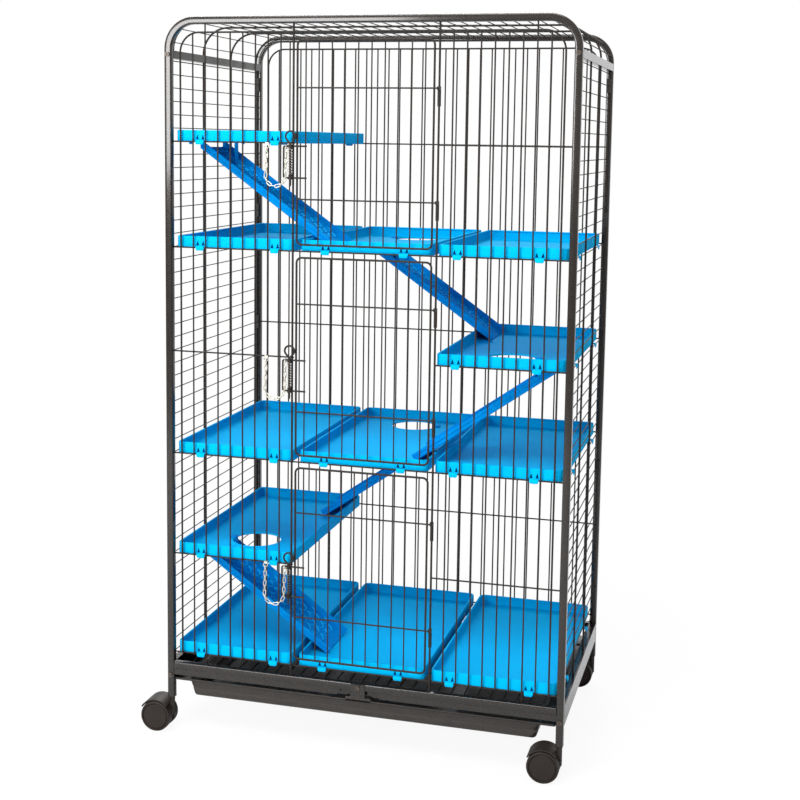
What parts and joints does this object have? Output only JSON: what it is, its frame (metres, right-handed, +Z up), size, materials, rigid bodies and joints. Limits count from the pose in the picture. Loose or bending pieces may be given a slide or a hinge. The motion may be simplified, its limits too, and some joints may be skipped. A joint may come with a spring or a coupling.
{
  "type": "wheeled small-animal cage",
  "caption": "Tall wire small-animal cage on casters, with latched doors, clip-on shelf pans, ramps with treads, a lift-out wire floor and a slide-out waste tray.",
  "frame": {"origin": "centre of the whole object's outline on the floor, with the casters trailing to the left", "axes": "+X to the right across the doors, +Y from the doors to the back, +Z up"},
  "size_m": [0.852, 0.522, 1.417],
  "materials": {
    "frame_paint": "hammered semi-gloss",
    "wire_paint": "semi-gloss",
    "tray_paint": "hammered semi-gloss",
    "bolt_steel": "satin",
    "zinc_steel": "bright zinc",
    "blue_plastic": "satin",
    "black_plastic": "matte",
    "wheel_plastic": "satin"
  },
  "bodies": {
    "cage": {"front_frame": "frame_paint", "rear_frame": "frame_paint", "left_cross_bar": "frame_paint", "right_cross_bar": "frame_paint", "left_side_rail": "frame_paint", "right_side_rail": "frame_paint", "front_lower_rail": "frame_paint", "centre_plate": "frame_paint", "frame_bolts": "bolt_steel", "caster_sockets": "black_plastic", "front_left_bars": "wire_paint", "front_right_bars": "wire_paint", "front_level_wires": "wire_paint", "rear_panel": "wire_paint", "left_mesh_panel": "wire_paint", "right_mesh_panel": "wire_paint", "top_mesh_panel": "wire_paint", "mesh_clips": "black_plastic", "wire_floor": "wire_paint", "centre_bolt": "bolt_steel", "bottom_left_pan": "blue_plastic", "bottom_middle_pan": "blue_plastic", "bottom_right_pan": "blue_plastic", "lower_half_pan": "blue_plastic", "second_left_pan": "blue_plastic", "second_middle_pan": "blue_plastic", "second_right_pan": "blue_plastic", "middle_half_pan": "blue_plastic", "third_left_pan": "blue_plastic", "third_middle_pan": "blue_plastic", "third_right_pan": "blue_plastic", "top_half_pan": "blue_plastic", "top_ramp": "blue_plastic", "third_ramp": "blue_plastic", "middle_ramp": "blue_plastic", "second_ramp": "blue_plastic", "lower_ramp": "blue_plastic"},
    "top_door": {"top_door": "wire_paint", "top_latch_spring": "zinc_steel", "top_door_chain": "zinc_steel"},
    "top_latch": {"top_latch_rod": "wire_paint"},
    "middle_door": {"middle_door": "wire_paint", "middle_latch_spring": "zinc_steel", "middle_door_chain": "zinc_steel"},
    "middle_latch": {"middle_latch_rod": "wire_paint"},
    "bottom_door": {"bottom_door": "wire_paint", "bottom_latch_spring": "zinc_steel", "bottom_door_chain": "zinc_steel"},
    "bottom_latch": {"bottom_latch_rod": "wire_paint"},
    "tray": {"waste_tray": "tray_paint"},
    "front_left_swivel": {"front_left_caster": "black_plastic"},
    "front_left_wheel": {"front_left_wheels": "wheel_plastic"},
    "front_right_swivel": {"front_right_caster": "black_plastic"},
    "front_right_wheel": {"front_right_wheels": "wheel_plastic"},
    "rear_left_swivel": {"rear_left_caster": "black_plastic"},
    "rear_left_wheel": {"rear_left_wheels": "wheel_plastic"},
    "rear_right_swivel": {"rear_right_caster": "black_plastic"},
    "rear_right_wheel": {"rear_right_wheels": "wheel_plastic"}
  },
  "joints": [
    {"name": "top_door_hinge", "type": "hinge", "parent": "cage", "child": "top_door", "pos_m": [0.16625, -0.2375, 1.1811], "axis": [0, 0, 1], "range_deg": [0, 150]},
    {"name": "top_latch_slide", "type": "slide", "parent": "top_door", "child": "top_latch", "axis": [0, 0, 1], "range_m": [0, 0.012], "stiffness_N_per_m": 250, "springref_m": -0.012, "deforming": ["top_latch_spring"]},
    {"name": "middle_door_hinge", "type": "hinge", "parent": "cage", "child": "middle_door", "pos_m": [0.16625, -0.2375, 0.7748], "axis": [0, 0, 1], "range_deg": [0, 150]},
    {"name": "middle_latch_slide", "type": "slide", "parent": "middle_door", "child": "middle_latch", "axis": [0, 0, 1], "range_m": [0, 0.012], "stiffness_N_per_m": 250, "springref_m": -0.012, "deforming": ["middle_latch_spring"]},
    {"name": "bottom_door_hinge", "type": "hinge", "parent": "cage", "child": "bottom_door", "pos_m": [0.16625, -0.2375, 0.3685], "axis": [0, 0, 1], "range_deg": [0, 150]},
    {"name": "bottom_latch_slide", "type": "slide", "parent": "bottom_door", "child": "bottom_latch", "axis": [0, 0, 1], "range_m": [0, 0.012], "stiffness_N_per_m": 250, "springref_m": -0.012, "deforming": ["bottom_latch_spring"]},
    {"name": "tray_slide", "type": "slide", "parent": "cage", "child": "tray", "axis": [0, -1, 0], "range_m": [0, 0.4]},
    {"name": "front_left_swivel", "type": "hinge", "parent": "cage", "child": "front_left_swivel", "pos_m": [-0.367, -0.238, 0.066], "axis": [0, 0, 1], "continuous": true},
    {"name": "front_left_wheel_spin", "type": "hinge", "parent": "front_left_swivel", "child": "front_left_wheel", "pos_m": [-0.395, -0.238, 0.031], "axis": [0, 1, 0], "continuous": true},
    {"name": "front_right_swivel", "type": "hinge", "parent": "cage", "child": "front_right_swivel", "pos_m": [0.419, -0.238, 0.066], "axis": [0, 0, 1], "continuous": true},
    {"name": "front_right_wheel_spin", "type": "hinge", "parent": "front_right_swivel", "child": "front_right_wheel", "pos_m": [0.391, -0.238, 0.031], "axis": [0, 1, 0], "continuous": true},
    {"name": "rear_left_swivel", "type": "hinge", "parent": "cage", "child": "rear_left_swivel", "pos_m": [-0.367, 0.238, 0.066], "axis": [0, 0, 1], "continuous": true},
    {"name": "rear_left_wheel_spin", "type": "hinge", "parent": "rear_left_swivel", "child": "rear_left_wheel", "pos_m": [-0.395, 0.238, 0.031], "axis": [0, 1, 0], "continuous": true},
    {"name": "rear_right_swivel", "type": "hinge", "parent": "cage", "child": "rear_right_swivel", "pos_m": [0.419, 0.238, 0.066], "axis": [0, 0, 1], "continuous": true},
    {"name": "rear_right_wheel_spin", "type": "hinge", "parent": "rear_right_swivel", "child": "rear_right_wheel", "pos_m": [0.391, 0.238, 0.031], "axis": [0, 1, 0], "continuous": true}
  ]
}
